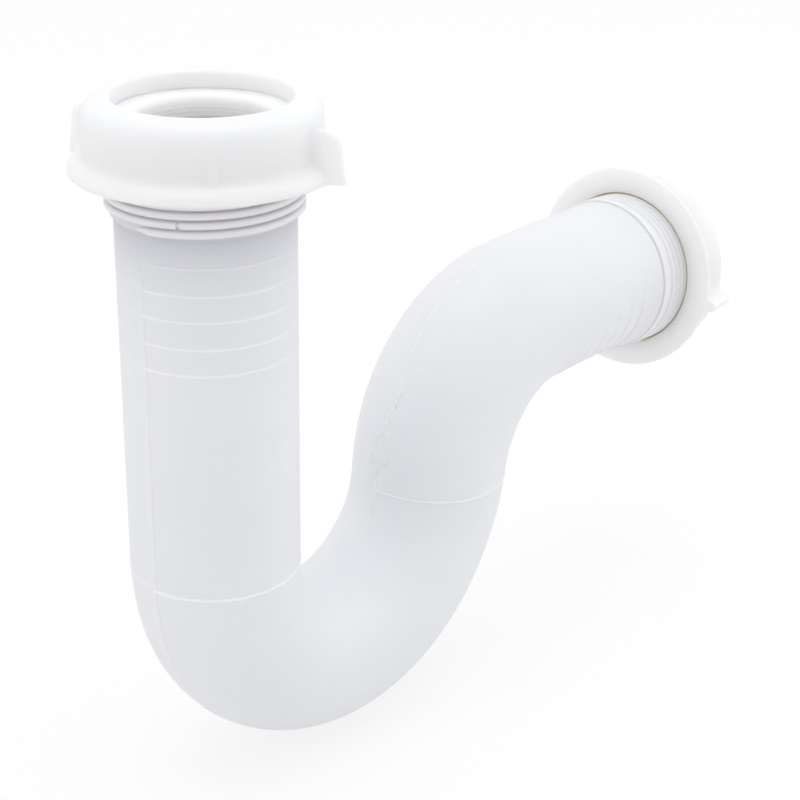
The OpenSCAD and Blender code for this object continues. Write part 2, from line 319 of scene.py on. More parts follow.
# Painted shadow of the inlet nut on the leg under its collar, a neutral grey-blue darkening
body_colour = marked(tree, body_colour, "painted_nut_shadow", (0.60, 0.61, 0.645))
tree.links.new(body_colour, shader.inputs["Base Color"])
tree.links.new(spread(tree, grain(tree, place, 9, 4), 0.3, 0.7, 0.40, 0.52), shader.inputs["Roughness"])
tree.links.new(
    emboss(tree, [(grain(tree, place, 14, 1), 0.18), (grain(tree, place, 1.1, 3), 0.012)]),
    shader.inputs["Normal"])
shader.inputs["IOR"].default_value = 1.53
shader.inputs["Subsurface Weight"].default_value = 0.12
shader.inputs["Subsurface Radius"].default_value = (1.0, 1.0, 1.0)
shader.inputs["Subsurface Scale"].default_value = 1.2 * mm
let_light_through(tree, shader, 0.24, (0.99, 0.985, 0.99))
print("vinyl has", len(tree.nodes), "nodes")

# %% [markdown]
# ## The nuts' plastic
# The nuts are stiffer and whiter than the pipe, and light scatters some millimetres deep in
# them, so their round edges glow and their shadows stay light. Their skin is smoother, with a
# soft gloss, faint flow marks from the mould and small scuffs. The painted shade mark tints the
# bore near the rim and the nut's own thread olive: painted shade in the gap round the collar.

# %% Nut plastic
nut_plastic, tree, shader, place = new_finish("nut_plastic")
clouded = spread(tree, grain(tree, place, 16, 3), 0.35, 0.65, 0, 1)
nut_colour = tint(tree, clouded, (0.935, 0.936, 0.943), (0.948, 0.949, 0.955))
# Painted shade: olive where the gap between the bore and the collar lies in shade
nut_colour = marked(tree, nut_colour, "painted_shade", (0.72, 0.60, 0.30))
tree.links.new(nut_colour, shader.inputs["Base Color"])
tree.links.new(spread(tree, grain(tree, place, 5, 4), 0.3, 0.7, 0.28, 0.40), shader.inputs["Roughness"])
tree.links.new(
    emboss(tree, [(grain(tree, place, 9, 1), 0.10), (grain(tree, place, 0.7, 2), 0.006)]),
    shader.inputs["Normal"])
shader.inputs["IOR"].default_value = 1.49
shader.inputs["Subsurface Weight"].default_value = 0.7
shader.inputs["Subsurface Radius"].default_value = (1.0, 1.0, 1.0)
shader.inputs["Subsurface Scale"].default_value = 4.0 * mm
let_light_through(tree, shader, 0.25, (0.99, 0.99, 0.99))
print("nut plastic has", len(tree.nodes), "nodes")

# %% [markdown]
# ## The washers' plastic
# The seal washers are a waxy off-white, softer than the nuts, with a painted warm shade in the hole.
# Light goes deepest into them, a little more of the red than of the blue, as in wax.

# %% Washer plastic
washer_plastic, tree, shader, place = new_finish("washer_plastic")
clouded = spread(tree, grain(tree, place, 6, 3), 0.3, 0.7, 0, 1)
washer_colour = tint(tree, clouded, (0.965, 0.955, 0.940), (0.975, 0.967, 0.955))
# Painted shade: a warm tan in the hole, where the bore lies in shade
washer_colour = marked(tree, washer_colour, "painted_shade", (0.94, 0.90, 0.87))
tree.links.new(washer_colour, shader.inputs["Base Color"])
tree.links.new(spread(tree, grain(tree, place, 3, 3), 0.3, 0.7, 0.36, 0.5), shader.inputs["Roughness"])
tree.links.new(emboss(tree, [(grain(tree, place, 1.6, 3), 0.02)]), shader.inputs["Normal"])
shader.inputs["Subsurface Weight"].default_value = 1.0
shader.inputs["Subsurface Radius"].default_value = (1.0, 0.9, 0.8)
shader.inputs["Subsurface Scale"].default_value = 5.0 * mm
print("washer plastic has", len(tree.nodes), "nodes")

# %% [markdown]
# ## The pipe's path
# The middle of the pipe is one flat curve: down the inlet leg, round the U-bend, up the short
# riser, back to level in the upper bend, along the sagging outlet run and straight through
# the outlet collar. It could be a curve object with a bevel, but the wall has rings, steps and
# parting lines of its own. So the path is a list of lengths, each with how far it turns, and a
# function gives the place and heading at any distance from the inlet's mouth.

# %% Path
collar, leg, riser, flare = 20.0, 92.4, 5.0, 6.0
u_radius, upper_radius, run = 42.5, 40.0, 39.0
path = [
    (collar + leg, 0.0),
    (math.radians(171) * u_radius, 171.0),
    (riser, 0.0),
    (math.radians(78) * upper_radius, -78.0),
    (run, -6.0),
    (flare + collar, 0.0),
]
joint_low = path[0][0]
joint_high = joint_low + path[1][0]
upper_start = joint_high + riser
upper_end = upper_start + path[3][0]
flare_start = upper_end + run
path_length = sum(length for length, _ in path)


def on_path(s):
    """Place (x, z) and heading of the pipe's middle, s mm from the inlet's mouth."""
    x, z, heading = 0.0, 0.0, math.radians(-90)
    for length, turned in path:
        step = min(s, length) if length is not path[-1][0] else s
        bend = math.radians(turned) / length
        if bend:
            x += (math.sin(heading + bend * step) - math.sin(heading)) / bend
            z -= (math.cos(heading + bend * step) - math.cos(heading)) / bend
        else:
            x += step * math.cos(heading)
            z += step * math.sin(heading)
        heading += bend * step
        s -= step
        if s <= 0:
            break
    return x, z, heading


print("path is %.1f mm long and ends at" % path_length, [round(v, 2) for v in on_path(path_length)])

# %% [markdown]
# ## The pipe's outside
# The wall is thinner on the inlet leg than past the U-bend, and it flares before the outlet
# collar. The outline is a list of (distance, radius) pairs. Low trimming rings show where the
# ends may be cut shorter, and two thin rings show where the parts of the mould met. They are
# lifts on top of the plain outline, so rows of points are close together only where they lie.

# %% Outline of the wall
leg_r, u_bend_r, riser_r, flare_r = 21.5, 21.3, 21.95, 23.0
root_r, crest_r, bore_r = 22.4, 23.5, 19.3
leg_rings = [collar + d for d in (7.0, 13.6, 19.9, 26.6, 33.1)]
run_rings = [flare_start - 3.5 - 6.0 * i for i in range(6)]


def plain_radius(s):
    """Radius of the outside without its rings. The steps of the mould are blended over some way."""
    stops = [joint_low - 4, joint_low + 6, joint_high - 16, joint_high + 3, upper_start + 20]
    stops += [flare_start + d for d in (-6, -3, 0, 3, flare)]
    radii = [leg_r, u_bend_r, u_bend_r, riser_r, 22.05, 22.12, 22.18, 22.34, 22.63, flare_r]
    return float(np.interp(s, stops, radii))


# Rows lie 2 mm apart, and closer wherever a ring, a step or the torn flash needs them.
rows = set(np.arange(collar + 0.4, path_length - collar, 2.0).round(2))
rows |= set(np.arange(collar + 0.8, collar + 6, 0.45).round(2))
rows |= set(np.arange(joint_high - 36, joint_high + 54, 1.2).round(2))
rows |= set(np.arange(joint_high - 3.6, joint_high + 5.4, 0.18).round(2))
rows |= set(np.arange(flare_start - 5, path_length - collar, 0.3).round(2))
for c in leg_rings:
    rows |= {round(c + d, 2) for d in (-1.1, -0.85, -0.65, -0.5, -0.35, -0.2, -0.05, 0.1, 0.25, 0.4)}
for c in run_rings:
    rows |= {round(c + d, 2) for d in (-0.6, -0.4, -0.2, 0.05, 0.3, 0.6, 0.95)}
low_joint_rows = (-1.15, -0.95, -0.8, -0.65, -0.5, -0.35, -0.2, -0.05, 0.1, 0.25, 0.4, 0.55)
rows |= {round(joint_low + d, 2) for d in low_joint_rows}
skin = [(s, plain_radius(s)) for s in sorted(rows) if collar + 0.3 < s < path_length - collar]
skin.append((path_length - collar, flare_r))
print(len(skin), "rows on the pipe's outside")

# %% [markdown]
# ## The collars
# Each end has a straight collar, a little thicker than the pipe, that carries the thread. The
# inlet collar ends in a bevel down to the leg. The outlet collar starts in a sharp groove,
# then a smooth band, then the thread. The ridges are made later as a true screw, so here the
# collars are only turned shapes, written as corners with small rounds.

# %% Outline of the collars and of the bore
inlet_collar = [
    (0.0, bore_r + 1.5), (0.0, root_r - 0.5), (0.12, root_r - 0.15), (0.5, root_r),
    (collar - 1.5, root_r), (collar - 0.95, root_r - 0.02),
    (collar - 0.1, leg_r + 0.12), (collar + 0.25, leg_r + 0.01)]
b = path_length - collar
outlet_collar = [
    (b + 0.04, flare_r - 0.15), (b + 0.06, flare_r - 0.48), (b + 0.3, flare_r - 0.5),
    (b + 0.36, flare_r - 0.2), (b + 0.5, flare_r + 0.32), (b + 0.8, flare_r + 0.46),
    (b + 2.6, flare_r + 0.48), (b + 3.3, flare_r + 0.3),
    (b + 4.4, root_r + 0.6), (b + 6.0, root_r + 0.25), (b + 8.5, root_r), (b + collar - 0.5, root_r),
    (b + collar - 0.12, root_r - 0.15), (b + collar, root_r - 0.5), (b + collar, bore_r + 1.55)]
inside = [(path_length - 1.5, bore_r + 0.02), (path_length - 2.5, bore_r)]
inside += [(s, bore_r) for s in np.arange(path_length - 6, 4, -3.2)]
inside += [(2.5, bore_r), (1.5, bore_r + 0.02)]
outline = inlet_collar + skin + outlet_collar + inside
print(len(outline), "rows in the closed outline")

# %% [markdown]
# ## Rings and parting lines
# The mould opened in the flat plane of the bends, so a faint line runs along both sides of the
# whole pipe. Down the leg it is a shallow band between two hair lines, where the halves of the
# mould didn't quite close. On the riser and the upper bend it is a thin raised line that
# wanders a little. The trimming rings stop at the line and go on half a millimetre higher,
# because each half of the mould was cut by itself. The mould-joint ring below the riser is
# broken at the line too: its front part dips, and its back part starts 2 mm off and soon
# fades. Under the run the trimming rings are cuts that only mark the lower half. All of this
# could be a bump in the finish, but then it would not catch the light as a real edge does.
# Here it moves the points.

# %% Columns and small lifts
near_inside = np.arange(-2.5, 1.1, 0.17) / leg_r
near_outside = math.pi + np.arange(-2.0, 1.7, 0.16) / leg_r
wide = np.radians(np.arange(3, 360, 3.0))
wide = wide[(np.abs(wide - math.pi) > 0.11) & (wide > 0.07) & (wide < 2 * math.pi - 0.135)]
columns = np.sort(np.concatenate([near_inside % (2 * math.pi), near_outside, wide]))
from_inside = (columns + math.pi) % (2 * math.pi) - math.pi
from_inside, from_outside = from_inside * leg_r, (columns - math.pi) * leg_r


def hump(x, centre, half):
    """A smooth hump of height one."""
    t = np.clip(1 - np.abs(x - centre) / half, 0, 1)
    return t * t * (3 - 2 * t)


def wavy(seed, length, step=2.0):
    """Smooth noise along a length, between -1 and 1, as a function of distance."""
    values = np.random.default_rng(seed).uniform(-1, 1, int(length / step) + 4)
    return lambda s: float(np.interp(s / step, np.arange(len(values)), values))


uneven, patchy = wavy(3, path_length), wavy(4, path_length, 9)


def line_at(s):
    """How far the inner parting line has wandered, in mm round the wall from the pipe's plane."""
    stops = joint_high + np.array([-45, -28, -14, -2, 7, 13, 19, 22, 27, 33, 39, 52, 70])
    wandered = [0, -0.4, -1.0, -1.0, -0.9, -0.7, 0.5, -0.4, -1.1, -1.8, -1.7, -1.3, 0]
    return float(np.interp(s, stops, wandered))


def seam_at(s):
    """Where the sharp edge of the outer parting line runs, with its dent near the collar."""
    stops = [20, 24, 28, 31, 33, 41, 61]
    return float(np.interp(s, stops, [-1.0, -0.1, -0.5, -1.65, -1.3, -1.15, -1.3]))


behind = from_outside > 0
turn_in = from_inside / leg_r
chatter_pitch = 0.95


def features(s):
    """The small features that cross the row at s, as heights from 0 to 1 at each column."""
    on_skin = collar + 0.5 < s < path_length - collar - 0.5
    # Trimming rings on the leg, weaker and a little higher behind the parting line
    beside_seam = 1 - hump(from_outside, 0, 1.6)
    share = np.where(behind, 0.35, np.interp(columns, [1.2, 1.6], [0.25, 1])) * beside_seam
    trim = sum(share * hump(s + 0.6 * behind, c, 0.5) for c in leg_rings)
    # Trimming cuts under the run, each shorter than the one before it, and the tool's chatter
    low_half = np.interp(np.abs(from_outside), [8, 24, 38], [1, 0.5, 0])
    cut = sum(low_half ** (1 + 0.4 * i) * np.interp(s - c, [-0.5, -0.2, 0.3, 0.9], [0, 1, 1, 0])
              for i, c in enumerate(run_rings))
    ripple = 0.5 * (1 + math.sin(2 * math.pi * s / chatter_pitch + 2 * uneven(s)))
    chatter = low_half * ripple * float(np.interp(s - flare_start, [-4, -1, 5], [0, 1, 1]))
    # The mould-joint ring under the leg, with a nick, and the broken one below the riser
    low_share = (1 - 0.9 * hump(from_outside, 0.1, 1.6)) * np.where(behind, 0.5, 1)
    joint = hump(s + 0.55 * behind, joint_low, 0.5) * low_share
    joint = joint + 0.5 * hump(s, joint_low + 0.45, 0.5) * hump(from_outside, -24, 1.2)
    breaks = [-0.53, -0.33, -0.08, -0.06, -0.04, 2.5, 3.0]
    high_share = np.interp(turn_in, breaks, [0.1, 0.45, 0.45, 0, 1, 1, 0.2])
    dipped = s - 1.1 + 3.5 * np.cos(columns) - 2.0 * (turn_in < -0.06)
    joint = joint + high_share * hump(dipped, joint_high, 0.55)
    # The outer parting line is an edge with a band beside it, and the inner one is a ridge
    strong = (0.75 + 0.25 * patchy(s)) * on_skin
    seam = strong * hump(from_outside, seam_at(s), 0.34)
    band = strong * np.interp(from_outside, [seam_at(s), seam_at(s) + 0.25, 0.9, 1.2], [0, 1, 1, 0])
    ridge = (0.8 + 0.2 * uneven(s)) * hump(from_inside, line_at(s), 0.42) * on_skin
    return trim, cut, chatter, joint, seam, band, ridge


def lift(s):
    """How far each point of the row at s stands above the plain outline."""
    trim, cut, chatter, joint, seam, band, ridge = features(s)
    rings = 0.15 * trim + 0.16 * cut + 0.06 * chatter + 0.28 * joint
    return rings - 0.07 * seam + 0.05 * band + 0.11 * ridge


print(len(columns), "columns round the pipe")

# %% [markdown]
# ## The pipe itself
# Now the outline is carried along the path. Every row is a ring of points round the path, and
# each ring joins the next with four-sided faces. The last row joins the first, so the pipe is
# one closed wall with a hollow waterway. The marks for the finish are filled in row by row.

# %% Build the pipe
def piece(name, points, faces, finish, body, crease=38, marks=None):
    """A mesh piece in millimetres, smooth but for sharp creases, that rides on a body."""
    mesh = bpy.data.meshes.new(name)
    mesh.from_pydata([tuple(p) for p in np.asarray(points) * mm], [], faces)
    for mark, values in (marks or {}).items():
        layer = mesh.attributes.new(mark, "FLOAT", "POINT")
        layer.data.foreach_set("value", np.asarray(values, dtype=np.float32))
    work = bmesh.new()
    work.from_mesh(mesh)
    bmesh.ops.remove_doubles(work, verts=work.verts, dist=0.002 * mm)
    bmesh.ops.recalc_face_normals(work, faces=work.faces)
    print(name, "encloses %.1f cubic cm" % (work.calc_volume(signed=True) * 1e6))
    work.to_mesh(mesh)
    work.free()
    mesh.polygons.foreach_set("use_smooth", [True] * len(mesh.polygons))
    mesh.set_sharp_from_angle(angle=math.radians(crease))
    mesh.materials.append(finish)
    made = bpy.data.objects.new(name, mesh)
    bpy.context.scene.collection.objects.link(made)
    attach(made, body)
    return made


def grid_faces(n_rows, n_columns, closed_rows):
    """Faces of rows of points, each row a closed ring."""
    i = np.arange(n_rows if closed_rows else n_rows - 1)[:, None]
    j = np.arange(n_columns)[None, :]
    below, above = i * n_columns, (i + 1) % n_rows * n_columns
    ahead = (j + 1) % n_columns
    corners = np.broadcast_arrays(below + j, below + ahead, above + ahead, above + j)
    return np.stack(corners, -1).reshape(-1, 4).tolist()


def on_wall(s, angles, radii):
    """Points round the pipe's middle at s. Angle zero is the inside of the U-bend."""
    x, z, heading = on_path(s)
    side, front = np.array([-math.sin(heading), 0, math.cos(heading)]), np.array([0, -1.0, 0])
    sideways, forwards = np.outer(radii * np.cos(angles), side), np.outer(radii * np.sin(angles), front)
    return np.array([x, 0, z]) + sideways + forwards


inside_r = bore_r + 1


def painted_shade_at(s, r):
    """Painted shade on the outside: in the threads' grooves, under the inlet collar's bevel fading down
    the leg, and in the grooves beside the outlet collar.
    """
    if r < inside_r:
        return 0.0
    stops = [0, collar - 1.6, collar - 0.9, collar - 0.5, collar + 0.3, collar + 1.2, collar + 16]
    stops += [b - 0.2, b + 0.05, b + 0.3, b + 0.5, b + 3.4, b + 4]
    return float(np.interp(s, stops, [1, 0.7, 0.35, 0.6, 0.7, 0.12, 0, 0, 0.6, 0.6, 0, 0, 0.15]))


def painted_nut_shadow_at(s):
    """Painted shadow of the inlet nut on the leg under its collar: darkest at the collar, fading over
    some 40 mm.
    """
    return float(np.interp(s - collar, [-1, 0.3, 1.2, 4, 9, 17, 40], [0, 1, 0.85, 0.6, 0.3, 0.1, 0]))


points, painted_shade, painted_light, painted_nut_shadow = [], [], [], []
first, last = len(inlet_collar), len(inlet_collar) + len(skin) - 1
for k, (s, r) in enumerate(outline):
    on_skin = first <= k < last
    points.append(on_wall(s, columns, r + (lift(s) if on_skin else np.zeros(len(columns)))))
    painted_shade.append(np.full(len(columns), painted_shade_at(s, r)))
    within = 1.0 if r < inside_r else 0.0
    # Painted light inside the hollow waterway, and a painted highlight on the smooth band past the
    # outlet's groove
    painted_light.append(np.full(len(columns), max(within, 0.6 * (b + 0.5 < s < b + 8))))
    # The nut's painted shadow lies on the outside only
    painted_nut_shadow.append(np.full(len(columns), painted_nut_shadow_at(s) * (1 - within)))
    if on_skin:
        trim, cut, chatter, joint, seam, band, ridge = features(s)
        # Painted shade in the run's cuts and chatter, along the outer seam's edge, and in a line above
        # the top trimming ring where the nut shades it
        shade_above_top_ring = 0.3 * hump(s, leg_rings[0] - 0.55, 0.3) * (columns < 3.1)
        painted_shade[-1] += 1.9 * cut + 0.4 * chatter + 0.45 * seam + shade_above_top_ring
        # Painted highlights on the trimming rings, the mould-joint rings, the seam's band and the inner
        # ridge
        painted_light[-1] += np.clip(1.0 * trim + 1.1 * joint + 0.2 * band + 0.3 * ridge, 0, 1)
faces = grid_faces(len(outline), len(columns), True)
marks = {"painted_shade": np.concatenate(painted_shade), "painted_light": np.concatenate(painted_light), "painted_nut_shadow": np.concatenate(painted_nut_shadow)}
pipe = piece("trap_pipe", np.concatenate(points), faces, vinyl, "trap", marks=marks)
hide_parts("trap_body")
print("pipe:", len(pipe.data.polygons), "faces")

# %% [markdown]
# ## The screw threads
# A thread is one ridge that climbs one pitch in each turn. Rings would look almost the same
# from afar, but only a true screw lets the nut's own thread sit between the ridges. The ridge
# is swept round as a small outline of its own, sunk a little into the collar, and it fades at
# both ends as a moulded thread does. The inlet's ridge has a nick where the mould parts, and
# both ridges carry painted shade at their foot and a painted highlight on their crest. Each end
# of the trap has its own upright: out of the mouth.

# %% Ends of the trap
def end_frame(s, outward):
    """Turns points from an end's own frame, with z out of its mouth, into the trap's frame."""
    x, z, heading = on_path(s)
    out_x, out_z = math.cos(heading) * outward, math.sin(heading) * outward
    upright = np.array([out_x, 0, out_z])
    across = np.array([0, 1.0, 0])
    first = np.cross(across, upright)
    return lambda p: np.array([x, 0, z]) + np.asarray(p) @ np.array([first, across, upright])


at_inlet, at_outlet = end_frame(0, -1), end_frame(path_length, 1)
print("outlet mouth at", at_outlet((0, 0, 0)).round(2))

# %% Ridge of a thread
pitch = 2.2


def screw_ridge(outline, start, turns, fade, place, phase=0.0, notches=()):
    """A ridge whose outline is (radius, height) pairs, from a height and phase turns from angle zero."""
    stops = set(np.linspace(0, turns, int(turns * 180)))
    near_notch = (-0.006, -0.0034, -0.0026, -0.0018, 0.0, 0.0018, 0.0026, 0.0034, 0.006)
    for notch in notches:
        stops |= {notch + d for d in near_notch}
    points = []
    base = outline[0][0]
    for turned in sorted(stops):
        a = 2 * math.pi * (turned + phase)
        size = min(1, turned / fade[0], (turns - turned) / fade[1])
        for notch in notches:
            size = min(size, max(0.45, (abs(turned - notch) - 0.0012) / 0.0022))
        size = size * size * (3 - 2 * size)
        for r, h in outline:
            radius = base + (r - base) * size
            z = start + pitch * turned + h * (0.35 + 0.65 * size)
            points.append((radius * math.cos(a), radius * math.sin(a), z))
    n, count = len(outline), len(stops) - 1
    faces = []
    for i in range(count):
        for j in range(n):
            k = (j + 1) % n
            faces.append((i * n + j, (i + 1) * n + j, (i + 1) * n + k, i * n + k))
    faces += [tuple(range(n - 1, -1, -1)), tuple(count * n + j for j in range(n))]
    return place(points), faces


def joined(parts):
    """Puts several (points, faces) parts into one mesh."""
    points, faces, shift = [], [], 0
    for p, f in parts:
        points.append(np.asarray(p))
        faces += [tuple(v + shift for v in face) for face in f]
        shift += len(p)
    return np.concatenate(points), faces


outer_ridge = [
    (root_r - 0.12, -1.04), (root_r + 0.12, -0.96), (crest_r - 0.5, -0.8), (crest_r - 0.15, -0.62),
    (crest_r, -0.42), (crest_r, 0.42), (crest_r - 0.15, 0.62), (crest_r - 0.5, 0.8),
    (root_r + 0.12, 0.96), (root_r - 0.12, 1.04)]
inlet_start, outlet_start = -19.75, -15.9
inlet_turns, outlet_turns, nick = 7.25, 6.3, 1.085
inlet_thread = screw_ridge(
    outer_ridge, inlet_start + pitch / 2, inlet_turns, (0.04, 0.1), at_inlet, 0.5, [nick])
broad_ridge = [
    (root_r - 0.12, -1.1), (root_r + 0.3, -1.06), (crest_r - 0.5, -0.98), (crest_r - 0.12, -0.84),
    (crest_r, -0.6), (crest_r, 0.6), (crest_r - 0.12, 0.84), (crest_r - 0.5, 0.98),
    (root_r + 0.3, 1.06), (root_r - 0.12, 1.1)]
outlet_thread = screw_ridge(broad_ridge, outlet_start, outlet_turns, (0.1, 0.1), at_outlet)
# Painted shade at each ridge's foot, fading to a painted highlight on its crest
ridge_painted_shade = [1, 1, 0.55, 0.1, 0, 0, 0.1, 0.55, 1, 1]
thread_points, thread_faces = joined([inlet_thread, outlet_thread])
thread_painted_shade = ridge_painted_shade * (len(inlet_thread[0]) // len(ridge_painted_shade))
thread_painted_shade += [0.4 * v for v in ridge_painted_shade] * (len(outlet_thread[0]) // len(ridge_painted_shade))
thread_marks = {"painted_shade": thread_painted_shade, "painted_light": [0.5 * (1 - v) for v in thread_painted_shade]}
threads = piece("trap_threads", thread_points, thread_faces, vinyl, "trap", 50, thread_marks)
print("threads:", len(threads.data.polygons), "faces")

# %% [markdown]
# ## Torn flash on the riser
# Where the halves of the mould pressed a little vinyl out between them, a thin fin was left on
# the inside of the riser. It was torn off by hand, not cut, so it left small lumps and one
# thin leaf that lies folded over on the wall. They could be sculpted, but a bead that is swept
# along a short track on the wall, with an uneven height, gives the same torn edge. The leaf
# is a film with a bead round it. Seeded randomness gives the same bead each time.

# %% Beads and the leaf
def on_riser(away, offset, height):
    """A point mm past the mould joint, mm round from the inside of the bend, mm above the wall."""
    s = joint_high + away
    r = plain_radius(s)
    return on_wall(s, np.array([offset / r]), np.array([r + height]))[0]


def bead(track, half, tall, closed=False):
    """An uneven bead along a track of (mm past the joint, mm round the wall) pairs."""
    track = np.array(track + track[:1] if closed else track, dtype=float)
    gone = np.concatenate([[0], np.cumsum(np.hypot(*np.diff(track, axis=0).T))])
    steps = np.linspace(0, gone[-1], max(6, int(gone[-1] / 0.35)))
    line = np.stack([np.interp(steps, gone, track[:, k]) for k in (0, 1)], 1)
    ahead = np.gradient(line, axis=0)
    aside = np.stack([-ahead[:, 1], ahead[:, 0]], 1) / np.hypot(*ahead.T)[:, None]
    points = []
    for k, (here, side) in enumerate(zip(line, aside)):
        size = 1.0 if closed else min(1.0, 0.15 + 2 * min(k, len(line) - 1 - k) / len(line) * 3)
        wide, high = half * size * rng.uniform(0.8, 1.2), tall * size * rng.uniform(0.65, 1.25)
        for across_share, up_share in ((-1, -0.3), (-0.75, 0.5), (0, 1), (0.75, 0.5), (1, -0.3)):
            spot = here + side * wide * across_share
            points.append(on_riser(spot[0], spot[1], high * up_share))
    n = len(line)
    faces = grid_faces(n, 5, False)
    faces += [tuple(range(4, -1, -1)), tuple((n - 1) * 5 + j for j in range(5))]
    return np.array(points), faces


leaf = [(12.1, -1.0), (12.0, 0.0), (9.4, 0.9), (6.3, 1.8), (6.1, -0.2),
        (6.3, -2.0), (6.8, -4.7), (8.4, -2.9), (11.0, -2.7)]
middle_of_leaf = np.mean(leaf, axis=0)
film_points = [on_riser(*middle_of_leaf, 0.16), on_riser(*middle_of_leaf, -0.2)]
film_points += [on_riser(*p, 0.22) for p in leaf] + [on_riser(*p, -0.2) for p in leaf]
n = len(leaf)
film_faces = []
for i in range(n):
    j = (i + 1) % n
    film_faces += [(0, 2 + i, 2 + j), (1, 2 + n + j, 2 + n + i), (2 + i, 2 + n + i, 2 + n + j, 2 + j)]
torn = [(np.array(film_points), film_faces), bead(leaf, 0.5, 0.26, closed=True)]
lumps = ((19.3, 0.6, 1.1), (17.4, 0.4, 0.8), (14.3, -0.9, 1.3), (4.4, -1.3, 1.6))
for away, offset, long in lumps:
    track = [(away + long, offset + 0.2), (away, offset), (away - long, offset - 0.1)]
    torn.append(bead(track, 0.6, 0.45))
above = [(51.8, -1.3), (44.2, -1.5), (38.8, -1.75), (32.9, -1.9), (27.3, -1.1), (22.0, -0.4)]
below = [(6.6, -0.8), (2.0, -1.5), (-2.2, -1.0), (-8.0, -1.0), (-14.3, -1.0), (-22.0, -0.7)]
torn.append(bead(above, 0.45, 0.22))
torn.append(bead(below, 0.5, 0.26))
flash_points, flash_faces = joined(torn)
# Painted highlight on one side and the top of each bead, and painted light on the leaf's film
edge_painted_light = [0.9, 0.8, 0.8, 0.2, 0.0] * ((len(flash_points) - len(film_points)) // 5)
flash_marks = {"painted_light": [0.45] * len(film_points) + edge_painted_light}
flash = piece("trap_flash", flash_points, flash_faces, vinyl, "trap", 60, flash_marks)
print("flash:", len(flash.data.polygons), "faces")

# %% [markdown]
# ## A nut's turned outline
# A slip-joint nut is a cup with a hole in its crown. The crown is as round as a doughnut, the
# wall narrows a little towards it, and the rim rolls out into a skirt. Inside, a bevel leads
# onto the thread. The outline is drawn once and used for both nuts. Its zero height is the
# underside of the crown, which presses on the washer.

# %% Outline of the nut
hole_r, top_r, wall_r, skirt_r, inner_r = 20.9, 27.6, 28.1, 31.4, 23.8
rim, crown = -13.3, 3.4


def arc(cx, cz, r, start, end, steps):
    """Points on an arc about (cx, cz), from one angle to another in degrees."""
    angles = np.radians(np.linspace(start, end, steps + 1))
    return [(cx + r * math.cos(a), cz + r * math.sin(a)) for a in angles]


roll_r, fillet_r = 3.2, 2.6
roll_x, roll_z = skirt_r - roll_r, rim + 0.4
fillet_x = wall_r + fillet_r
fillet_z = roll_z + math.sqrt((roll_r + fillet_r) ** 2 - (fillet_x - roll_x) ** 2)
meet = math.degrees(math.atan2(fillet_z - roll_z, fillet_x - roll_x))
wing_low, wing_high, wing_corner, wing_r = rim, rim + 12, 2.6, 35.2


def wall_at(z):
    """Radius of the wall between the skirt and the crown."""
    return float(np.interp(z, [fillet_z, crown - 3.6], [wall_r, top_r]))


lip_z, lip_round = crown + 0.9, 1.1
inner_part = [(inner_r, 0.0), (inner_r, -6.0), (inner_r, rim + 0.5), (inner_r + 0.08, rim + 0.3)]
inner_part += [(inner_r + 0.25, rim + 0.08), (inner_r + 0.4, rim)]
rim_part = [(28.0, rim), (skirt_r - 0.4, rim), (skirt_r - 0.12, rim + 0.1), (skirt_r, rim + 0.4)]
roll_part = arc(roll_x, roll_z, roll_r, 0, meet, 7)[1:]
roll_part += arc(fillet_x, fillet_z, fillet_r, 180 + meet, 180, 6)[1:]
corner_low = wing_high - wing_corner
corner_rows = [corner_low + wing_corner * math.sin(math.radians(a)) for a in (0, 18, 36, 54, 70, 82)]
wall_part = [(wall_at(z), z) for z in (-6.8, -5.4)] + [(wall_at(z), z) for z in corner_rows]
crown_part = arc(top_r - 3.4, crown - 3.4, 3.4, 10, 73, 10)
crown_part += [(23.9, crown + 0.2), (22.8, crown + 0.47)]
crown_part += arc(hole_r + lip_round, lip_z - lip_round - 0.06, lip_round, 75, 180, 8)
crown_part += [(hole_r, 0.08), (hole_r + 0.08, 0.0), (22.4, 0.0)]
print("nut outline meets its fillet at %.1f degrees, height %.2f mm" % (meet, fillet_z))

# %% [markdown]
# ## The wings
# Two wings let fingers turn the nut. A wing is a thin upright plate with a round edge, which
# spreads into the wall with soft hollow fillets. Joining plates to the wall with a boolean
# would leave hard creases there. So each row of the nut is drawn as one closed line: round the
# wall, out and back along the first wing, round the wall, and along the second wing. Where
# there is no wing at that height, the same points lie on the circle instead.

# %% One row of the nut
half_thick, wing_spread = 1.6, 2.4
wing_points = 6


def wing_line(r, reach, half):
    """Points of one wing at one height, seen from above, from its first fillet to its last."""
    room = reach - r
    f, t = min(wing_spread, 0.55 * room), min(half, 0.4 * room)
    foot = half_thick + wing_spread
    wall_x = math.sqrt(r * r - foot * foot)
    quarter = np.radians(np.linspace(0, 90, wing_points))
    fillet = [(wall_x + f * (1 - math.cos(a)) + (r - wall_x) * (a / math.pi),
               foot - (foot - half) * math.sin(a)) for a in quarter]
    straight = [(fillet[-1][0] + (reach - t - fillet[-1][0]) * k, half) for k in (0.4, 0.8)]
    tip = [(reach - t + t * math.sin(a), half - t + t * math.cos(a)) for a in quarter]
    one = fillet + straight + tip
    return [(x, -y) for x, y in one] + [(reach, 0.0)] + [(x, y) for x, y in one[::-1]]


def folded_line(r):
    """The same number of points on the circle, in the same order, so no face folds over."""
    quarter = np.radians(np.linspace(0, 90, wing_points))
    beside = [half_thick + wing_spread * (1 - math.sin(a)) for a in quarter]
    across = [half_thick * k for k in np.linspace(1, 0, wing_points + 4)[1:-1]]
    one = beside + across
    return [(math.sqrt(r * r - y * y), y) for y in [-y for y in one] + [0.0] + one[::-1]]


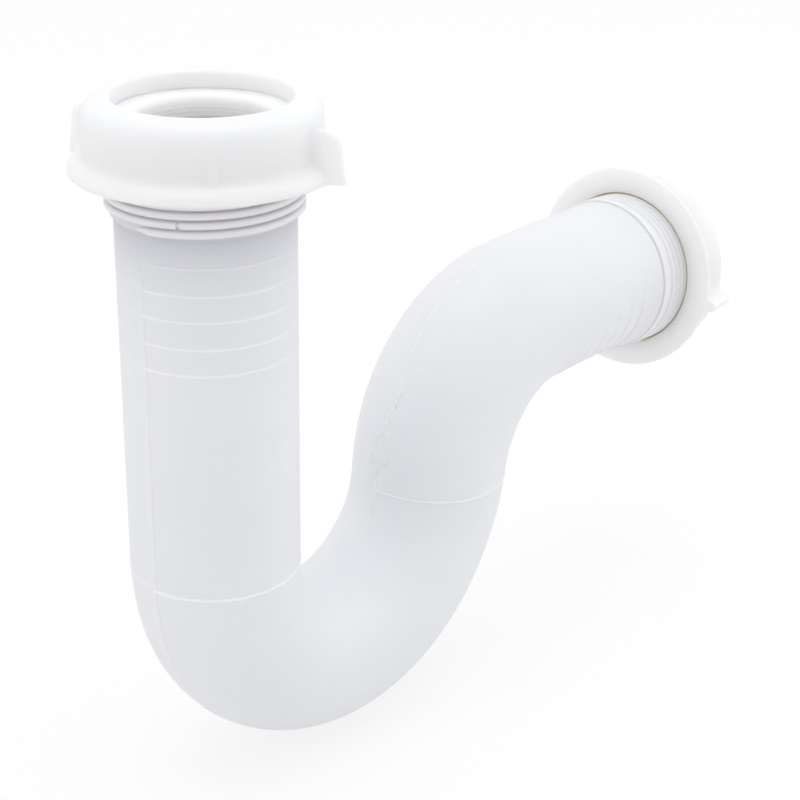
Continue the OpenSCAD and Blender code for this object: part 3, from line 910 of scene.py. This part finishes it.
# Degrees round the wall from one wing to the next, closer together at the rib
between = np.concatenate(
    [np.arange(8, 116, 3.0), np.arange(116, 124.1, 0.8), np.arange(127, 173, 3.0)])[1:]


def rib_lift(angle, z):
    """A small upright rib stands on the wall a third of a turn past each wing."""
    away = abs(math.remainder(angle - math.radians(120), math.pi)) * wall_r
    tall = float(np.interp(z, [-9.4, -8.4, -4.6, -3.6], [0, 1, 1, 0]))
    return 0.6 * tall * math.sqrt(max(0.0, 1 - (away / 1.1) ** 2)) if away < 1.1 else 0.0


def nut_row(r, z, reach=None, half=half_thick, ribs=False):
    """All the points of the nut at one height: half a turn, then the same again."""
    line = folded_line(r) if reach is None else wing_line(r, reach, half)
    edge = math.degrees(math.atan2(line[-1][1], line[-1][0]))
    angles = np.radians(edge + (between - 8) * (180 - 2 * edge) / 164)
    wall = [(r + (rib_lift(a, z) if ribs else 0.0), a) for a in angles]
    half_turn = line + [(w * math.cos(a), w * math.sin(a)) for w, a in wall]
    return [(x, y, z) for x, y in half_turn] + [(-x, -y, z) for x, y in half_turn]


print(len(nut_row(25, 0)), "points in a row of the nut")

# %% [markdown]
# ## A whole nut
# The rows are stacked from the bore, over the rim, up the skirt and the wall, over the crown
# and back down through the hole. The wings start at the rim and end in a rounded upper corner,
# so their reach shrinks row by row there. The nut's own thread is a slim inward ridge that
# sits between the collar's ridges, half a pitch away from them.

# %% Stack the rows
def wing_reach(z):
    """Radius of a wing's outer edge: it leans in, then turns over its upper corner."""
    reach = wing_r - 1.5 * (z - wing_low) / (wing_high - wing_low)
    over = z - corner_low
    if over > 0:
        reach -= wing_corner - math.sqrt(max(wing_corner ** 2 - over ** 2, 0))
    return reach


def nut_rows():
    """All rows of the nut in order, as one list of points, and how many rows there are."""
    stack = [nut_row(r, z) for r, z in inner_part + rim_part[:2]]
    stack.append(nut_row(skirt_r - 0.3, rim, wing_reach(rim) - 0.35, half_thick - 0.35))
    stack += [nut_row(r, z, wing_reach(z) - 0.06) for r, z in rim_part[2:3]]
    stack += [nut_row(r, z, wing_reach(z)) for r, z in rim_part[3:]]
    stack += [nut_row(r, z, wing_reach(z), ribs=True) for r, z in roll_part + wall_part]
    top = wall_part[-1][0]
    stack.append(nut_row(top, wing_high, wing_reach(corner_rows[-1]) - 0.35, half_thick - 0.3))
    stack.append(nut_row(top, wing_high))
    stack += [nut_row(r, z) for r, z in crown_part if z > wing_high or r < 25]
    return np.array([p for row in stack for p in row]), len(stack)


stacked, n_rows = nut_rows()
nut_faces = grid_faces(n_rows, len(stacked) // n_rows, True)
inner_ridge = [
    (inner_r + 0.1, 0.5), (inner_r - 0.1, 0.44), (inner_r - 0.5, 0.22), (inner_r - 0.6, 0.12),
    (inner_r - 0.6, -0.12), (inner_r - 0.5, -0.22), (inner_r - 0.1, -0.44), (inner_r + 0.1, -0.5)]
print("one nut:", len(nut_faces), "faces in", n_rows, "rows")


def turned(points, degrees, raised):
    """Turns points round their upright axis and raises them."""
    a = math.radians(degrees)
    spin = np.array([[math.cos(a), math.sin(a), 0], [-math.sin(a), math.cos(a), 0], [0, 0, 1]])
    return np.asarray(points) @ spin + np.array([0, 0, raised])


stacked_r = np.hypot(stacked[:, 0], stacked[:, 1])
# Painted shade at the bore's foot by the rim, where the gap to the collar's thread is shaded
bore_painted_shade = np.where((stacked_r < inner_r + 0.3) & (stacked[:, 2] < rim + 0.7), 1.0, 0.0).tolist()


def make_nut(name, seat, turn_degrees, screw_start, place, body):
    """One nut on its collar: seat is the height of its crown's underside above the mouth."""
    shell = (place(turned(stacked, turn_degrees, seat)), nut_faces)
    low = seat + rim + 2.2
    first = screw_start + pitch / 2 + pitch * math.ceil((low - screw_start - pitch / 2) / pitch)
    turns = (seat - 1.2 - first) / pitch
    inner = screw_ridge(inner_ridge, first, turns, (0.12, 0.12), place)
    points, faces = joined([shell, inner])
    # Painted shade on the nut's own thread, strongest on its lowest turn by the rim
    ridge_painted_shade = np.linspace(1.6, 0.3 - turns, len(inner[0])).clip(0, 1).tolist()
    return piece(name, points, faces, nut_plastic, body, 42, {"painted_shade": bore_painted_shade + ridge_painted_shade})


seat_gap, washer_thick, outlet_slack = 0.2, 3.5, 1.1
inlet_seat = 2 * seat_gap + washer_thick
outlet_seat = inlet_seat + outlet_slack
inlet_wing, outlet_wing = -70, -82
inlet_nut = make_nut("inlet_nut_shell", inlet_seat, inlet_wing, inlet_start, at_inlet, "inlet_nut")
outlet_nut = make_nut("outlet_nut_shell", outlet_seat, outlet_wing, outlet_start, at_outlet, "outlet_nut")
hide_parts("inlet_nut")
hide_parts("outlet_nut")
print("nuts:", len(inlet_nut.data.polygons), "and", len(outlet_nut.data.polygons), "faces")

# %% [markdown]
# ## The seal washers
# Under each crown lies a thick washer with a tapered plug that presses into the collar's mouth.
# Its hole fits a tube smaller than the trap. The lip of the hole is rounded, and a shallow
# groove runs round the top face near the lip. It is a turned shape, so a plain lathe does it.

# %% Turn the washers
washer_hole, washer_r = 15.95, 23.3
washer_outline = [(washer_hole, -2.1)]
for z in (-1.5, -0.5, 0.5):
    washer_outline += [(washer_hole, z - 0.3), (washer_hole - 0.14, z), (washer_hole, z + 0.12)]
washer_outline += arc(washer_hole + 2.1, 1.4, 2.1, 178, 92, 10)
washer_outline += [(18.6, 3.48), (19.0, 3.38), (19.4, 3.38), (19.8, 3.5), (20.3, 3.62), (22.4, 3.62)]
washer_outline += arc(washer_r - 0.45, 3.1, 0.45, 80, 0, 4) + arc(washer_r - 0.4, 0.4, 0.4, 0, -90, 4)
washer_outline += [(20.55, 0.0), (20.4, -0.1), (19.5, -1.05), (19.15, -1.2), (18.9, -2.2), (16.15, -2.2)]


washer_steps = 144


def lathe(outline, count):
    """Turns an outline of (radius, height) pairs into rings of points."""
    angles = np.linspace(0, 2 * math.pi, count, endpoint=False)
    points = [(r * math.cos(a), r * math.sin(a), z) for r, z in outline for a in angles]
    return np.array(points), grid_faces(len(outline), count, True)


upward = washer_outline[::-1]
turned_washer, washer_faces = lathe(upward, washer_steps)
# Painted warm shade in the hole and on the inner lip
washer_painted_shade = [float(np.interp(r, [16.3, 17.6], [1, 0])) for r, _ in upward for _ in range(washer_steps)]
ends = (("inlet", at_inlet, seat_gap), ("outlet", at_outlet, seat_gap + outlet_slack))
for end, place, raised in ends:
    washer = piece(f"{end}_washer_ring", place(turned_washer + [0, 0, raised]), washer_faces,
                   washer_plastic, f"{end}_washer", 42, {"painted_shade": washer_painted_shade})
    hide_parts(f"{end}_washer")
print("washers:", len(washer_faces), "faces each")

# %% [markdown]
# ## The solids' box
# The dressed trap must stay inside the box of its solids, because Blender adds looks and not
# size. The box of the solids is printed here.

# %% Print the solids' box
def plain(box):
    """A box as plain lists of numbers."""
    return [[float(v) for v in corner] for corner in box]


print("solids ", plain(solid_box))
